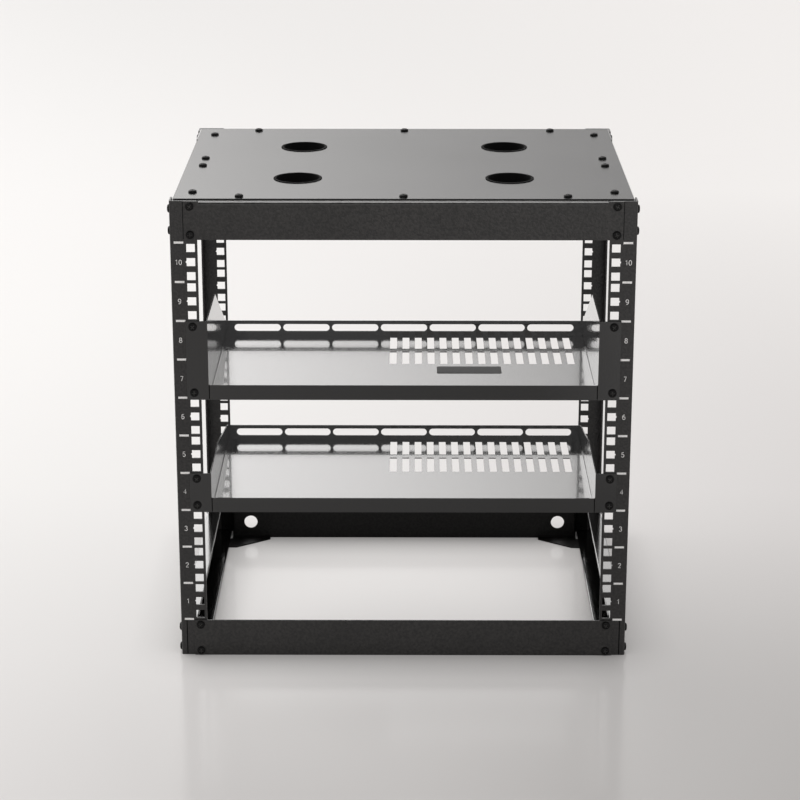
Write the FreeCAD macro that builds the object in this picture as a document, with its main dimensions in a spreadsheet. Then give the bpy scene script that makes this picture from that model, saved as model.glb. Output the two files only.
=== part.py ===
import FreeCAD, Part
import math
import os
import re
import Sketcher

# Open-frame network rack: four folded posts joined by cross bars and side rails, with a top plate and
# two fixed trays. Millimetres. The origin is on the floor below the middle, +Z is up, the front is -Y.

doc = FreeCAD.newDocument("Rack")
dims = doc.addObject("Spreadsheet::Sheet", "dims")

SIZES = {
    # Whole frame, over the outer faces of the posts
    "depth": 400,
    # Equipment holes of a 19-inch rack, between the zones of the lower and the upper bars
    "unit_height": 44.45,
    "unit_count": 10,
    "base_height": 44,
    "top_height": 46.5,
    "hole_spread": 465.1,
    "hole_size": 9.5,
    "hole_edge_gap": 6.35,
    "hole_pitch": 15.875,
    "notch_depth": 1.4,
    "notch_half_width": 1.6,
    # Posts, on both sides of their hole column
    "hole_margin": 22.45,
    "post_inner_gap": 7.55,
    "post_side_width": 20,
    "post_wall": 2,
    "post_bend_radius": 2,
    # Cross bars
    "bar_wall": 1.5,
    "bar_height": 43.2,
    "bar_margin": 7.05,
    "bar_flange_width": 28,
    "bar_bend_radius": 2.5,
    "bar_gap": 2,
    "bar_screw_inset": 5.725,
    # Rear bars stand forward of the rear posts on a step at each end
    "rear_step_depth": 22,
    "wall_hole_inset": 23.8,
    "wall_hole_height": 21.5,
    "wall_hole_radius": 8.5,
    "gusset_depth": 37,
    "gusset_edge_width": 8,
    "gusset_root_width": 49,
    "gusset_knee_gap": 7.5,
    "gusset_inset": 5,
    # Side rails
    "rail_wall": 1.5,
    "rail_bend_radius": 1.2,
    "rail_top_width": 30,
    "rail_low_width": 26.5,
    "rail_lip_width": 16,
    "rail_end_gap": 4.5,
    "rail_tab_length": 64,
    "rail_screw_inset": 10,
    "rail_screw_gap": 10.5,
    "rail_screw_pitch": 24.5,
    "rail_low_screw_gap": 6.6,
    # Top plate
    "plate_wall": 1.5,
    "plate_side_gap": 1.6,
    "plate_front_gap": 11.5,
    "plate_rear_gap": 1.5,
    "plate_screw_inset": 20.4,
    "plate_front_screw_gap": 22,
    "plate_rear_screw_gap": 16,
    "plate_screw_pitch": 180,
    "plate_side_far": 157.5,
    "plate_side_near": 20,
    "port_radius": 27.5,
    "port_spread_x": 239.5,
    "port_spread_y": 172,
    "grommet_wall": 1.2,
    "grommet_depth": 12,
    "grommet_lip_width": 1.9,
    "grommet_lip_height": 0.8,
    "grommet_clearance": 0.15,
    # Trays
    "tray_wall": 1.2,
    "tray_gap": 7.5,
    "tray_depth": 250,
    "tray_drop_height": 2,
    "tray_bend_radius": 1,
    "tray_lip_height": 17.2,
    "lip_seam_width": 1,
    "lip_seam_depth": 0.9,
    "tray_back_height": 20.5,
    "tray_crest_length": 112,
    "ear_wall": 1.5,
    "ear_margin": 7.95,
    "upper_ear_units": 2,
    "upper_unit": 7,
    "lower_unit": 4,
    "wall_slot_width": 8.7,
    "wall_slot_gap": 3.1,
    "wall_slot_end_gap": 12.2,
    "wall_slot_count": 7,
    "wall_slot_height": 10.6,
    "vent_width": 8.2,
    "vent_length": 50,
    "vent_pitch": 14.85,
    "vent_count": 15,
    "vent_side_gap": 17.9,
    "vent_back_gap": 3.5,
    "vent_row_gap": 12,
    # Pan-head screws, their holes and the nuts behind the tray ears
    "screw_radius": 2.5,
    "screw_head_radius": 4.75,
    "screw_head_height": 2.9,
    "screw_chamfer_width": 1.5,
    "short_screw_length": 6,
    "long_screw_length": 11,
    "screw_clearance": 0.15,
    "nut_width": 9,
    "nut_depth": 4.6,
    "cage_wall": 0.6,
    "cage_clearance": 0.2,
    "cage_width": 8,
    "seat_gap": 0.2,
    "cut_clearance": 1,
}

for row, (alias, number) in enumerate(SIZES.items(), start=1):
    dims.set("A%d" % row, alias)
    dims.set("B%d" % row, str(number))
    dims.setAlias("B%d" % row, alias)
doc.recompute()


# Sizes that follow from the ones above
FOLLOWS = {
    "width": "hole_spread + 2 * hole_margin",
    "height": "base_height + unit_count * unit_height + top_height",
    "post_face": "hole_margin + post_inner_gap",
    "bar_end": "hole_spread / 2 + bar_margin",
    "bar_screw_pitch": "bar_height - 2 * bar_screw_inset",
    "rail_height": "bar_height",
    "bar_inner": "hole_spread / 2 - post_inner_gap - bar_gap",
    "sleeve_radius": "port_radius - grommet_lip_width",
    "wall_hole_spread": "2 * bar_inner - 2 * wall_hole_inset",
    "tray_width": "hole_spread - 2 * post_inner_gap - 2 * tray_gap",
    "ear_reach": "hole_spread / 2 + ear_margin",
    "wall_slot_pitch": "(tray_width - 2 * wall_slot_end_gap + wall_slot_gap) / wall_slot_count",
    "wall_slot_length": "wall_slot_pitch - wall_slot_gap",
}
FUNCTIONS = ("sin", "cos", "deg")


def bound(text):
    """The expression that a size is bound to: each word in it is a cell of the sheet or follows from some."""
    def cell(match):
        word = match.group(0)
        if word in FUNCTIONS:
            return word
        if word in FOLLOWS:
            return "(%s)" % bound(FOLLOWS[word])
        return "dims." + word
    return re.sub(r"[a-z][a-z_]*", cell, text)


def value(text):
    """The number that such an expression has now."""
    return float(dims.evalExpression(bound(text)))


# Sketches

SHANK_SIDES = 6
HEAD_SIDES = 12
AXIS_OF = {"XY_Plane": 1, "XZ_Plane": -1, "YZ_Plane": 1}


def sketch_on(body, plane, offset):
    """An empty sketch of the body, parallel to one of its origin planes and offset along that axis."""
    sketch = body.newObject("Sketcher::SketchObject", body.Name + "_outline")
    support = [item for item in body.Origin.OriginFeatures if item.Role == plane][0]
    sketch.AttachmentSupport = [(support, "")]
    sketch.MapMode = "FlatFace"
    sign = "" if AXIS_OF[plane] > 0 else "-"
    sketch.setExpression("AttachmentOffset.Base.z", bound("%s(%s)" % (sign, offset)))
    return sketch


def drive(sketch, kind, places, text):
    """Adds a dimension to the sketch and binds it to an expression."""
    index = sketch.addConstraint(Sketcher.Constraint(kind, *places, value(text)))
    sketch.setExpression("Constraints[%d]" % index, bound(text))


def fix_point(sketch, element, end, across, up):
    drive(sketch, "DistanceX", (-1, 1, element, end), across)
    drive(sketch, "DistanceY", (-1, 1, element, end), up)


def polygon(sketch, corners):
    """A closed outline through corners, each given by two expressions."""
    spots = [FreeCAD.Vector(value(across), value(up), 0) for across, up in corners]
    lines = []
    for spot, following in zip(spots, spots[1:] + spots[:1]):
        lines.append(sketch.addGeometry(Part.LineSegment(spot, following), False))
    for line, following in zip(lines, lines[1:] + lines[:1]):
        sketch.addConstraint(Sketcher.Constraint("Coincident", line, 2, following, 1))
    for line, (across, up) in zip(lines, corners):
        fix_point(sketch, line, 1, across, up)


def circle(sketch, across, up, radius):
    centre = FreeCAD.Vector(value(across), value(up), 0)
    up_normal = FreeCAD.Vector(0, 0, 1)
    ring = sketch.addGeometry(Part.Circle(centre, up_normal, value(radius)), False)
    fix_point(sketch, ring, 3, across, up)
    drive(sketch, "Radius", (ring,), radius)


def facets(sketch, across, up, radius, sides):
    """A regular polygon with a flat side on top: the outline of small fasteners and their holes."""
    corners = []
    for number in range(sides):
        angle = "%g deg" % (360 / sides * (number + 0.5))
        corners.append((
            "%s + (%s) * cos(%s)" % (across, radius, angle),
            "%s + (%s) * sin(%s)" % (up, radius, angle),
        ))
    polygon(sketch, corners)


def screw_hole(sketch, across, up):
    facets(sketch, across, up, "screw_radius + screw_clearance", SHANK_SIDES)


def obround(sketch, across, up, length, width):
    """A slot along the sketch's first axis, with round ends."""
    half = "(%s) / 2 - (%s) / 2" % (length, width)
    left, right = "%s - (%s)" % (across, half), "%s + (%s)" % (across, half)
    low, high = "%s - (%s) / 2" % (up, width), "%s + (%s) / 2" % (up, width)
    normal = FreeCAD.Vector(0, 0, 1)
    runs = []
    for start, end, level in ((left, right, low), (right, left, high)):
        first = FreeCAD.Vector(value(start), value(level), 0)
        last = FreeCAD.Vector(value(end), value(level), 0)
        run = sketch.addGeometry(Part.LineSegment(first, last), False)
        fix_point(sketch, run, 1, start, level)
        fix_point(sketch, run, 2, end, level)
        runs.append(run)
    for index, (side, angle) in enumerate(((right, -math.pi / 2), (left, math.pi / 2))):
        centre = FreeCAD.Vector(value(side), value(up), 0)
        ring = Part.Circle(centre, normal, value(width) / 2)
        bow = sketch.addGeometry(Part.ArcOfCircle(ring, angle, angle + math.pi), False)
        sketch.addConstraint(Sketcher.Constraint("Coincident", runs[index], 2, bow, 1))
        sketch.addConstraint(Sketcher.Constraint("Coincident", bow, 2, runs[1 - index], 1))
        drive(sketch, "DistanceX", (-1, 1, bow, 3), side)


# Features of one body. Places closer than this are the same one
SAME_PLACE = 0.0001

def add(body, plane, offset, length, draw):
    """Adds material from offset over length, along the plane's axis."""
    sketch = sketch_on(body, plane, offset)
    draw(sketch)
    pad = body.newObject("PartDesign::Pad", body.Name + "_pad")
    pad.Profile = sketch
    pad.Reversed = AXIS_OF[plane] < 0
    pad.setExpression("Length", bound(length))
    body.Tip = pad
    return pad


def cut(body, plane, offset, length, draw):
    """Removes material from a little before offset to a little past length."""
    sketch = sketch_on(body, plane, "%s - cut_clearance" % offset)
    draw(sketch)
    pocket = body.newObject("PartDesign::Pocket", body.Name + "_cut")
    pocket.Profile = sketch
    pocket.Reversed = AXIS_OF[plane] > 0
    pocket.setExpression("Length", bound("%s + 2 * cut_clearance" % length))
    body.Tip = pocket
    return pocket


def repeat(body, feature, axis, pitch, count):
    """Repeats a feature of the body along one of its origin axes."""
    pattern = body.newObject("PartDesign::LinearPattern", body.Name + "_row")
    pattern.Originals = [feature]
    line = [item for item in body.Origin.OriginFeatures if item.Role == axis][0]
    pattern.Direction = (line, [""])
    pattern.setExpression("Length", bound("%s * (%s - 1)" % (pitch, count)))
    pattern.setExpression("Occurrences", bound(count))
    body.Tip = pattern
    return pattern


def round_bends(body, radius, direction, spots):
    """Rounds the straight edges along direction that pass through the given spots."""
    doc.recompute()
    base = body.Tip
    names = []
    for number, edge in enumerate(base.Shape.Edges, start=1):
        if edge.Curve.TypeId != "Part::GeomLine":
            continue
        if edge.Curve.Direction.cross(FreeCAD.Vector(*direction)).Length > SAME_PLACE:
            continue
        middle = edge.CenterOfMass
        for spot in spots:
            reach = FreeCAD.Vector(*[value(text) for text in spot]) - middle
            if reach.cross(FreeCAD.Vector(*direction)).Length < SAME_PLACE:
                names.append("Edge%d" % number)
    bend = body.newObject("PartDesign::Fillet", body.Name + "_bend")
    bend.Base = (base, names)
    bend.setExpression("Radius", bound(radius))
    body.Tip = bend
    return bend


def new_body(label):
    body = doc.addObject("PartDesign::Body", label)
    body.Label = label
    return body


def mirror(source, label, normal):
    """The same piece for the other side."""
    twin = doc.addObject("Part::Mirroring", label)
    twin.Label = label
    twin.Source = source
    twin.Normal = FreeCAD.Vector(*normal)
    return twin


SIDE_TO_SIDE = (1, 0, 0)
FRONT_TO_REAR = (0, 1, 0)

# Where the screws go: across, along and up, for the left front quarter

BAR_SCREW_X = "-hole_spread / 2"
BAR_SCREW_LEVELS = (
    "bar_screw_inset",
    "bar_screw_inset + bar_screw_pitch",
    "height - bar_screw_inset - bar_screw_pitch",
    "height - bar_screw_inset",
)
RAIL_SCREW_Y = "-depth / 2 + rail_screw_inset"
RAIL_SCREW_LEVELS = (
    "rail_low_screw_gap",
    "rail_low_screw_gap + rail_screw_pitch",
    "height - rail_screw_gap - rail_screw_pitch",
    "height - rail_screw_gap",
)
PLATE_SIDE_X = "width / 2 - post_wall - plate_screw_inset"
PLATE_FRONT_Y = "-depth / 2 + plate_front_screw_gap"
PLATE_REAR_Y = "depth / 2 - plate_rear_screw_gap"


# Front left post: a strip folded to an L, punched with three square holes in each unit

def post_section(sketch):
    polygon(sketch, [
        ("-width / 2", "-depth / 2"),
        ("-width / 2 + post_face", "-depth / 2"),
        ("-width / 2 + post_face", "-depth / 2 + post_wall"),
        ("-width / 2 + post_wall", "-depth / 2 + post_wall"),
        ("-width / 2 + post_wall", "-depth / 2 + post_side_width"),
        ("-width / 2", "-depth / 2 + post_side_width"),
    ])


def unit_holes(sketch):
    """The three holes of the lowest unit. The middle one has a pointed notch on its outer side."""
    left = "-hole_spread / 2 - hole_size / 2"
    right = "-hole_spread / 2 + hole_size / 2"
    for step in range(3):
        level = "base_height + hole_edge_gap + %d * hole_pitch" % step
        low = level + " - hole_size / 2"
        high = level + " + hole_size / 2"
        corners = [(left, low), (right, low), (right, high), (left, high)]
        if step == 1:
            corners += [
                (left, level + " + notch_half_width"),
                (left + " - notch_depth", level),
                (left, level + " - notch_half_width"),
            ]
        polygon(sketch, corners)


def post_face_screws(sketch):
    for level in BAR_SCREW_LEVELS:
        screw_hole(sketch, BAR_SCREW_X, level)


def post_side_screws(sketch):
    for level in RAIL_SCREW_LEVELS:
        screw_hole(sketch, RAIL_SCREW_Y, level)


front_left_post = new_body("front_left_post")
add(front_left_post, "XY_Plane", "0 * height", "height", post_section)
round_bends(front_left_post, "post_bend_radius", (0, 0, 1), [("-width / 2", "-depth / 2", "height / 2")])
cut(front_left_post, "XZ_Plane", "-depth / 2", "post_wall", post_face_screws)
cut(front_left_post, "YZ_Plane", "-width / 2", "post_wall", post_side_screws)
holes = cut(front_left_post, "XZ_Plane", "-depth / 2", "post_wall", unit_holes)
repeat(front_left_post, holes, "Z_Axis", "unit_height", "unit_count")
front_right_post = mirror(front_left_post, "front_right_post", SIDE_TO_SIDE)
rear_left_post = mirror(front_left_post, "rear_left_post", FRONT_TO_REAR)
rear_right_post = mirror(rear_left_post, "rear_right_post", SIDE_TO_SIDE)


# Front bars: a flat face over the posts, with a flange folded back between them

BAR_FRONT = "-depth / 2 - bar_wall"
BAR_END = "bar_end"
BAR_INNER = "bar_inner"
FLANGE_TOP = "height - plate_wall"


def bar_face_ends(bottom, top):
    def draw(sketch):
        for side in ("-", ""):
            inner, outer = "%s(%s)" % (side, BAR_INNER), "%s(%s)" % (side, BAR_END)
            polygon(sketch, [(inner, bottom), (outer, bottom), (outer, top), (inner, top)])
    return draw


def bar_screw_holes(levels):
    def draw(sketch):
        for side in ("-", ""):
            for level in levels:
                screw_hole(sketch, side + "hole_spread / 2", level)
    return draw


def front_top_section(sketch):
    polygon(sketch, [
        (BAR_FRONT, "height - bar_height"),
        ("-depth / 2", "height - bar_height"),
        ("-depth / 2", FLANGE_TOP + " - bar_wall"),
        (BAR_FRONT + " + bar_flange_width", FLANGE_TOP + " - bar_wall"),
        (BAR_FRONT + " + bar_flange_width", FLANGE_TOP),
        (BAR_FRONT, FLANGE_TOP),
    ])


def plate_row(level):
    def draw(sketch):
        for across in ("-plate_screw_pitch", "0 * width", "plate_screw_pitch"):
            screw_hole(sketch, across, level)
    return draw


front_top_bar = new_body("front_top_bar")
add(front_top_bar, "YZ_Plane", "-(%s)" % BAR_INNER, "2 * (%s)" % BAR_INNER, front_top_section)
round_bends(front_top_bar, "bar_bend_radius", (1, 0, 0), [("0 * width", BAR_FRONT, FLANGE_TOP)])
add(front_top_bar, "XZ_Plane", BAR_FRONT, "bar_wall", bar_face_ends("height - bar_height", "height"))
cut(front_top_bar, "XZ_Plane", BAR_FRONT, "bar_wall", bar_screw_holes(BAR_SCREW_LEVELS[2:]))
cut(front_top_bar, "XY_Plane", FLANGE_TOP + " - bar_wall", "bar_wall", plate_row(PLATE_FRONT_Y))


def gussets(root, reach):
    """Two floor flanges, widened to gussets that pass below the side rails."""
    def draw(sketch):
        for side in ("-", ""):
            def across(text):
                return "%s(%s)" % (side, text)
            outer = "width / 2 - post_wall - gusset_inset"
            knee = "bar_inner - gusset_knee_gap"
            start = "bar_inner - gusset_root_width"
            polygon(sketch, [
                (across(start), root),
                (across(start), "%s %s gusset_edge_width" % (root, reach)),
                (across(knee), "%s %s gusset_depth" % (root, reach)),
                (across(outer), "%s %s gusset_depth" % (root, reach)),
                (across(outer), "%s %s gusset_edge_width" % (root, reach)),
                (across(BAR_INNER), "%s %s gusset_edge_width" % (root, reach)),
                (across(BAR_INNER), root),
            ])
    return draw


def front_low_face(sketch):
    polygon(sketch, [
        ("-(%s)" % BAR_END, "0 * height"),
        (BAR_END, "0 * height"),
        (BAR_END, "bar_height"),
        ("-(%s)" % BAR_END, "bar_height"),
    ])


front_bottom_bar = new_body("front_bottom_bar")
add(front_bottom_bar, "XZ_Plane", BAR_FRONT, "bar_wall", front_low_face)
add(front_bottom_bar, "XY_Plane", "0 * height", "bar_wall", gussets("-depth / 2", "+"))
cut(front_bottom_bar, "XZ_Plane", BAR_FRONT, "bar_wall", bar_screw_holes(BAR_SCREW_LEVELS[:2]))


# Rear bars: a strip stepped forward between the posts, so that its face stands clear of a wall

EAR_BACK = "depth / 2 - post_wall"
WEB_FRONT = EAR_BACK + " - bar_wall - rear_step_depth"


def rear_strip(sketch):
    inner = BAR_INNER
    corners = [
        ("-(%s)" % BAR_END, EAR_BACK),
        ("-(%s)" % BAR_END, EAR_BACK + " - bar_wall"),
        ("-(%s)" % inner, EAR_BACK + " - bar_wall"),
        ("-(%s)" % inner, WEB_FRONT),
        (inner, WEB_FRONT),
        (inner, EAR_BACK + " - bar_wall"),
        (BAR_END, EAR_BACK + " - bar_wall"),
        (BAR_END, EAR_BACK),
        (inner + " - bar_wall", EAR_BACK),
        (inner + " - bar_wall", WEB_FRONT + " + bar_wall"),
        ("-(%s) + bar_wall" % inner, WEB_FRONT + " + bar_wall"),
        ("-(%s) + bar_wall" % inner, EAR_BACK),
    ]
    polygon(sketch, corners)


def rear_flange(sketch):
    inner = BAR_INNER + " - bar_wall"
    polygon(sketch, [
        ("-(%s)" % inner, WEB_FRONT + " + bar_wall"),
        (inner, WEB_FRONT + " + bar_wall"),
        (inner, EAR_BACK),
        ("-(%s)" % inner, EAR_BACK),
    ])


def wall_holes(sketch):
    for side in ("-", ""):
        circle(sketch, side + "wall_hole_spread / 2", "wall_hole_height", "wall_hole_radius")


REAR_CORNERS = [("-(%s)" % BAR_INNER, WEB_FRONT, "height"), (BAR_INNER, WEB_FRONT, "height")]

rear_top_bar = new_body("rear_top_bar")
add(rear_top_bar, "XY_Plane", FLANGE_TOP + " - bar_height", "bar_height", rear_strip)
round_bends(rear_top_bar, "bar_bend_radius", (0, 0, 1), REAR_CORNERS)
add(rear_top_bar, "XY_Plane", FLANGE_TOP + " - bar_wall", "bar_wall", rear_flange)
cut(rear_top_bar, "XZ_Plane", EAR_BACK + " - bar_wall", "bar_wall", bar_screw_holes(BAR_SCREW_LEVELS[2:]))
cut(rear_top_bar, "XY_Plane", FLANGE_TOP + " - bar_wall", "bar_wall", plate_row(PLATE_REAR_Y))

rear_bottom_bar = new_body("rear_bottom_bar")
add(rear_bottom_bar, "XY_Plane", "0 * height", "bar_height", rear_strip)
round_bends(rear_bottom_bar, "bar_bend_radius", (0, 0, 1), REAR_CORNERS)
add(rear_bottom_bar, "XY_Plane", "0 * height", "bar_wall", gussets(WEB_FRONT, "-"))
cut(rear_bottom_bar, "XZ_Plane", EAR_BACK + " - bar_wall", "bar_wall", bar_screw_holes(BAR_SCREW_LEVELS[:2]))
cut(rear_bottom_bar, "XZ_Plane", WEB_FRONT, "bar_wall", wall_holes)


# Side rails: channels that lie inside the side flanges of the posts, open towards the middle

RAIL_OUT = "-width / 2 + post_wall"
RAIL_FRONT = "-depth / 2 + rail_end_gap"


def channel(bottom, top, low_flange, high_flange):
    def draw(sketch):
        polygon(sketch, [
            (RAIL_OUT, bottom),
            (RAIL_OUT + " + " + low_flange, bottom),
            (RAIL_OUT + " + " + low_flange, bottom + " + rail_wall"),
            (RAIL_OUT + " + rail_wall", bottom + " + rail_wall"),
            (RAIL_OUT + " + rail_wall", top + " - rail_wall"),
            (RAIL_OUT + " + " + high_flange, top + " - rail_wall"),
            (RAIL_OUT + " + " + high_flange, top),
            (RAIL_OUT, top),
        ])
    return draw


def rail_corners(bottom, top):
    return [(RAIL_OUT, "0 * depth", bottom), (RAIL_OUT, "0 * depth", top)]


def rail_tab(sketch):
    """The end of the web beside the plate's rear corner, which stands as high as the plate."""
    rear = "depth / 2 - rail_end_gap"
    polygon(sketch, [
        (rear + " - rail_tab_length", FLANGE_TOP + " - rail_wall"),
        (rear, FLANGE_TOP + " - rail_wall"),
        (rear, "height"),
        (rear + " - rail_tab_length", "height"),
    ])


def rail_screw_holes(levels):
    def draw(sketch):
        for along in (RAIL_SCREW_Y, "-(%s)" % RAIL_SCREW_Y):
            for level in levels:
                screw_hole(sketch, along, level)
    return draw


def plate_side_row(side):
    def draw(sketch):
        for along in ("-plate_side_far", "-plate_side_near", "plate_side_near", "plate_side_far"):
            screw_hole(sketch, "%s(%s)" % (side, PLATE_SIDE_X), along)
    return draw


RAIL_LENGTH = "depth - 2 * rail_end_gap"
TOP_RAIL_LOW = FLANGE_TOP + " - rail_height"
LOW_RAIL_TOP = "bar_wall + rail_height"

left_top_rail = new_body("left_top_rail")
add(left_top_rail, "XZ_Plane", RAIL_FRONT, RAIL_LENGTH,
    channel(TOP_RAIL_LOW, FLANGE_TOP, "rail_lip_width", "rail_top_width"))
round_bends(left_top_rail, "rail_bend_radius", (0, 1, 0), rail_corners(TOP_RAIL_LOW, FLANGE_TOP))
cut(left_top_rail, "YZ_Plane", RAIL_OUT, "rail_wall", rail_screw_holes(RAIL_SCREW_LEVELS[2:]))
cut(left_top_rail, "XY_Plane", FLANGE_TOP + " - rail_wall", "rail_wall", plate_side_row("-"))
add(left_top_rail, "YZ_Plane", RAIL_OUT, "rail_wall", rail_tab)
right_top_rail = mirror(left_top_rail, "right_top_rail", SIDE_TO_SIDE)

left_bottom_rail = new_body("left_bottom_rail")
add(left_bottom_rail, "XZ_Plane", RAIL_FRONT, RAIL_LENGTH,
    channel("bar_wall", LOW_RAIL_TOP, "rail_low_width", "rail_lip_width"))
round_bends(left_bottom_rail, "rail_bend_radius", (0, 1, 0), rail_corners("bar_wall", LOW_RAIL_TOP))
cut(left_bottom_rail, "YZ_Plane", RAIL_OUT, "rail_wall", rail_screw_holes(RAIL_SCREW_LEVELS[:2]))
right_bottom_rail = mirror(left_bottom_rail, "right_bottom_rail", SIDE_TO_SIDE)


# Top plate, resting on the flanges between the tops of the posts, and the rubber grommets of its ports

PLATE_HALF = "width / 2 - post_wall - plate_side_gap"


def plate_outline(sketch):
    front = "-depth / 2 + plate_front_gap"
    rear = "depth / 2 - post_wall - plate_rear_gap"
    side = PLATE_HALF
    polygon(sketch, [("-(%s)" % side, front), (side, front), (side, rear), ("-(%s)" % side, rear)])


PORTS = [
    (side + "port_spread_x / 2", along + "port_spread_y / 2")
    for side in ("-", "")
    for along in ("-", "")
]


def port_holes(sketch):
    for across, along in PORTS:
        circle(sketch, across, along, "sleeve_radius + grommet_clearance")


def ring(radius):
    def draw(sketch):
        circle(sketch, "0 * width", "0 * depth", radius)
    return draw


top_plate = new_body("top_plate")
add(top_plate, "XY_Plane", FLANGE_TOP, "plate_wall", plate_outline)
for holes in (plate_row(PLATE_FRONT_Y), plate_row(PLATE_REAR_Y), plate_side_row("-"), plate_side_row("")):
    cut(top_plate, "XY_Plane", FLANGE_TOP, "plate_wall", holes)
cut(top_plate, "XY_Plane", FLANGE_TOP, "plate_wall", port_holes)

GROMMET_LOW = "-plate_wall - grommet_depth"
grommet = doc.addObject("PartDesign::Body", "grommet")
add(grommet, "XY_Plane", GROMMET_LOW, "plate_wall + grommet_depth", ring("sleeve_radius"))
add(grommet, "XY_Plane", "0 * height", "grommet_lip_height", ring("port_radius"))
cut(grommet, "XY_Plane", GROMMET_LOW, "plate_wall + grommet_depth + grommet_lip_height",
    ring("sleeve_radius - grommet_wall"))


# Trays: one folded sheet each, with a floor, a front lip between two ears, side walls and a slotted back

TRAY_HALF = "tray_width / 2"
TRAY_BACK = "-depth / 2 + tray_depth"
EAR_FRONT = "-depth / 2 - ear_wall"


def tray(label, first_unit, ear_units):
    base = "base_height + (%s - 1) * unit_height - tray_drop_height" % first_unit
    ear_top = "base_height + (%s - 1 + %s) * unit_height" % (first_unit, ear_units)
    inner = TRAY_HALF + " - tray_wall"
    lip = base + " + tray_lip_height"

    def front(sketch):
        polygon(sketch, [
            ("-ear_reach", base),
            ("ear_reach", base),
            ("ear_reach", ear_top),
            (inner, ear_top),
            (inner, lip),
            ("-(%s)" % inner, lip),
            ("-(%s)" % inner, ear_top),
            ("-ear_reach", ear_top),
        ])

    def lip_seams(sketch):
        """The seams between the lip and the ears, which are folded apart and welded from behind."""
        for side in ("-", ""):
            near = "%s(%s)" % (side, inner)
            far = "%s(%s - lip_seam_width)" % (side, inner)
            polygon(sketch, [(near, base), (near, lip), (far, lip), (far, base)])

    def floor(sketch):
        polygon(sketch, [
            ("-" + TRAY_HALF, "-depth / 2"),
            (TRAY_HALF, "-depth / 2"),
            (TRAY_HALF, TRAY_BACK),
            ("-" + TRAY_HALF, TRAY_BACK),
        ])

    def side(sketch):
        polygon(sketch, [
            ("-depth / 2", base),
            (TRAY_BACK, base),
            (TRAY_BACK, base + " + tray_back_height"),
            ("-depth / 2 + tray_crest_length", ear_top),
            ("-depth / 2", ear_top),
        ])

    def back(sketch):
        top = base + " + tray_back_height"
        polygon(sketch, [
            ("-" + TRAY_HALF, base),
            (TRAY_HALF, base),
            (TRAY_HALF, top),
            ("-" + TRAY_HALF, top),
        ])

    def first_wall_slot(sketch):
        across = "-wall_slot_pitch * (wall_slot_count - 1) / 2"
        level = base + " + tray_wall + wall_slot_height"
        obround(sketch, across, level, "wall_slot_length", "wall_slot_width")

    def first_vents(sketch):
        right = "tray_width / 2 - vent_side_gap - vent_pitch * (vent_count - 1)"
        far = TRAY_BACK + " - tray_wall - vent_back_gap"
        for back_edge in (far, far + " - vent_length - vent_row_gap"):
            polygon(sketch, [
                (right + " - vent_width", back_edge + " - vent_length"),
                (right, back_edge + " - vent_length"),
                (right, back_edge),
                (right + " - vent_width", back_edge),
            ])

    def ear_holes(sketch):
        bottom = "base_height + (%s - 1) * unit_height + hole_edge_gap" % first_unit
        top = ear_top + " - hole_edge_gap"
        for across in ("-hole_spread / 2", "hole_spread / 2"):
            for level in (bottom, top):
                screw_hole(sketch, across, level)

    body = new_body(label)
    add(body, "XZ_Plane", EAR_FRONT, "ear_wall", front)
    add(body, "XY_Plane", base, "tray_wall", floor)
    add(body, "YZ_Plane", "-" + TRAY_HALF, "tray_wall", side)
    add(body, "YZ_Plane", inner, "tray_wall", side)
    add(body, "XZ_Plane", TRAY_BACK + " - tray_wall", "tray_wall", back)
    fold = [(side + TRAY_HALF, "0 * depth", base) for side in ("-", "")]
    round_bends(body, "tray_bend_radius + tray_wall", (0, 1, 0), fold)
    inside = [("%s(%s)" % (side, inner), "0 * depth", base + " + tray_wall") for side in ("-", "")]
    round_bends(body, "tray_bend_radius", (0, 1, 0), inside)
    slots = cut(body, "XZ_Plane", TRAY_BACK + " - tray_wall", "tray_wall", first_wall_slot)
    repeat(body, slots, "X_Axis", "wall_slot_pitch", "wall_slot_count")
    vents = cut(body, "XY_Plane", base, "tray_wall", first_vents)
    repeat(body, vents, "X_Axis", "vent_pitch", "vent_count")
    cut(body, "XZ_Plane", EAR_FRONT, "ear_wall", ear_holes)
    cut(body, "XZ_Plane", EAR_FRONT, "lip_seam_depth - cut_clearance", lip_seams)
    return body


upper_shelf = tray("upper_shelf", "upper_unit", "upper_ear_units")
lower_shelf = tray("lower_shelf", "lower_unit", "1")


# Fasteners: one pattern piece each, set at every place where the rack has one

def screw(name, length):
    """A pan-head screw whose head stands on the ground plane, with its shank below."""
    def shank(sketch):
        facets(sketch, "0 * height", "0 * height", "screw_radius", SHANK_SIDES)

    def head(sketch):
        facets(sketch, "0 * height", "0 * height", "screw_head_radius", HEAD_SIDES)

    body = doc.addObject("PartDesign::Body", name)
    add(body, "XY_Plane", "-" + length, length, shank)
    add(body, "XY_Plane", "0 * height", "screw_head_height", head)
    doc.recompute()
    block = body.Tip
    solid = block.Shape
    rim = [
        "Edge%d" % number
        for number, edge in enumerate(solid.Edges, start=1)
        if abs(edge.BoundBox.ZMin - solid.BoundBox.ZMax) < SAME_PLACE
    ]
    chamfer = body.newObject("PartDesign::Chamfer", name + "_crown")
    chamfer.Base = (block, rim)
    chamfer.setExpression("Size", bound("screw_chamfer_width"))
    body.Tip = chamfer
    return body


short_screw = screw("short_screw", "short_screw_length")
long_screw = screw("long_screw", "long_screw_length")

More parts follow.
